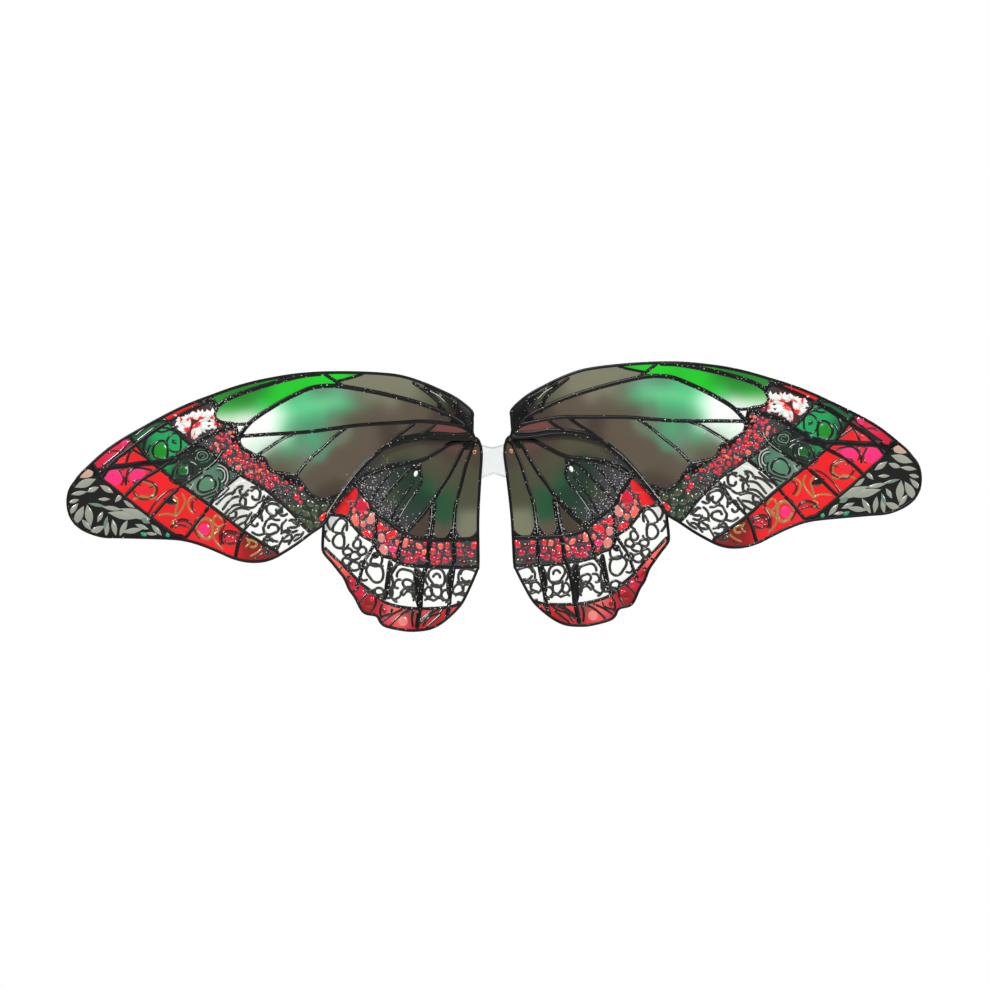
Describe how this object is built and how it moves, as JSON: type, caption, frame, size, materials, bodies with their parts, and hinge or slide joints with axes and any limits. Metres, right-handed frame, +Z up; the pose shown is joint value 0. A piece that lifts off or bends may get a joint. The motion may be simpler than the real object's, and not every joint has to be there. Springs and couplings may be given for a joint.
{
  "type": "fairy wings",
  "caption": "Costume fairy wings of leaded film: each side's forewing and hindwing fan on a pivot and fold on a hinge at a clear back plate worn with elastic shoulder loops.",
  "frame": {"origin": "middle of the grip pad's face that lies on the wearer's back, on the centre plane between the wings", "axes": "+X is the wearer's right and the span, +Y points at the wearer, +Z is up"},
  "size_m": [0.9242, 0.1908, 0.2843],
  "materials": {
    "clear_plastic": "clear moulded plate, polished",
    "clear_silicone": "clear soft silicone, satin",
    "green_film": "translucent bright green film shading to brown, high gloss",
    "olive_film": "olive brown film with a green glow, high gloss",
    "pebble_film": "grey black ground with domed red and olive drops, high gloss",
    "ring_film": "green, grey and white rings and scrolls, high gloss",
    "white_film": "grey white film with black scrolls, high gloss",
    "red_film": "bright red film with gold squiggles, high gloss",
    "border_film": "salmon and red film with brown veins, high gloss",
    "tip_film": "black film with grey green leaf shapes, high gloss",
    "black_leading": "raised black glitter resin",
    "black_wire": "black coated steel wire",
    "black_moulding": "black moulded nylon",
    "steel": "satin",
    "copper": "polished copper",
    "elastic_webbing": "woven black elastic"
  },
  "bodies": {
    "harness": {"back_plate": "clear_plastic", "grip_pad": "clear_silicone", "hinge_pin_left": "steel", "hinge_pin_right": "steel", "shoulder_strap_left": "elastic_webbing", "shoulder_strap_right": "elastic_webbing"},
    "fold_left": {"hinge_leaf_left": "black_moulding", "leaf_washer_front_left": "steel", "leaf_washer_rear_left": "steel"},
    "forewing_left": {"forewing_cells_film_left": "green_film", "forewing_pebble_film_left": "pebble_film", "forewing_ring_film_left": "ring_film", "forewing_red_film_left": "red_film", "forewing_tip_film_left": "tip_film", "forewing_leading_left": "black_leading", "forewing_rim_left": "black_leading", "forewing_costa_rod_left": "black_wire", "forewing_brace_rod_left": "black_wire", "forewing_root_arm_left": "black_moulding", "pivot_bolt_left": "steel", "pivot_spacer_left": "steel"},
    "hindwing_left": {"hindwing_cells_film_left": "olive_film", "hindwing_pebble_film_left": "pebble_film", "hindwing_scroll_film_left": "white_film", "hindwing_border_film_left": "border_film", "hindwing_leading_left": "black_leading", "hindwing_rim_left": "black_leading", "hindwing_rod_left": "black_wire", "hindwing_root_arm_left": "black_moulding", "root_rivet_left": "copper"},
    "nut_left": {"thumb_nut_left": "black_moulding"},
    "slider_left": {"strap_slider_left": "black_moulding"},
    "fold_right": {"hinge_leaf_right": "black_moulding", "leaf_washer_front_right": "steel", "leaf_washer_rear_right": "steel"},
    "forewing_right": {"forewing_cells_film_right": "green_film", "forewing_pebble_film_right": "pebble_film", "forewing_ring_film_right": "ring_film", "forewing_red_film_right": "red_film", "forewing_tip_film_right": "tip_film", "forewing_leading_right": "black_leading", "forewing_rim_right": "black_leading", "forewing_costa_rod_right": "black_wire", "forewing_brace_rod_right": "black_wire", "forewing_root_arm_right": "black_moulding", "pivot_bolt_right": "steel", "pivot_spacer_right": "steel"},
    "hindwing_right": {"hindwing_cells_film_right": "olive_film", "hindwing_pebble_film_right": "pebble_film", "hindwing_scroll_film_right": "white_film", "hindwing_border_film_right": "border_film", "hindwing_leading_right": "black_leading", "hindwing_rim_right": "black_leading", "hindwing_rod_right": "black_wire", "hindwing_root_arm_right": "black_moulding", "root_rivet_right": "copper"},
    "nut_right": {"thumb_nut_right": "black_moulding"},
    "slider_right": {"strap_slider_right": "black_moulding"}
  },
  "joints": [
    {"name": "left_fold", "type": "hinge", "parent": "harness", "child": "fold_left", "pos_m": [-0.019, -0.0126, 0], "axis": [0, 0, 1], "range_deg": [-9, 62]},
    {"name": "left_forewing_spread", "type": "hinge", "parent": "fold_left", "child": "forewing_left", "pos_m": [-0.04316, -0.01643, 0.039], "axis": [-0.1564, 0.9877, 0], "range_deg": [-12, 30]},
    {"name": "left_hindwing_spread", "type": "hinge", "parent": "fold_left", "child": "hindwing_left", "pos_m": [-0.04316, -0.01643, 0.039], "axis": [-0.1564, 0.9877, 0], "range_deg": [-3, 45]},
    {"name": "left_thumb_nut_spin", "type": "hinge", "parent": "forewing_left", "child": "nut_left", "pos_m": [-0.04316, -0.01643, 0.039], "axis": [-0.1564, 0.9877, 0], "continuous": true},
    {"name": "left_slider_slide", "type": "slide", "parent": "harness", "child": "slider_left", "axis": [0, 0, 1], "range_m": [-0.018, 0.018]},
    {"name": "right_fold", "type": "hinge", "parent": "harness", "child": "fold_right", "pos_m": [0.019, -0.0126, 0], "axis": [0, 0, -1], "range_deg": [-9, 62]},
    {"name": "right_forewing_spread", "type": "hinge", "parent": "fold_right", "child": "forewing_right", "pos_m": [0.04316, -0.01643, 0.039], "axis": [-0.1564, -0.9877, 0], "range_deg": [-12, 30]},
    {"name": "right_hindwing_spread", "type": "hinge", "parent": "fold_right", "child": "hindwing_right", "pos_m": [0.04316, -0.01643, 0.039], "axis": [-0.1564, -0.9877, 0], "range_deg": [-3, 45]},
    {"name": "right_thumb_nut_spin", "type": "hinge", "parent": "forewing_right", "child": "nut_right", "pos_m": [0.04316, -0.01643, 0.039], "axis": [-0.1564, -0.9877, 0], "continuous": true},
    {"name": "right_slider_slide", "type": "slide", "parent": "harness", "child": "slider_right", "axis": [0, 0, 1], "range_m": [-0.018, 0.018]}
  ]
}
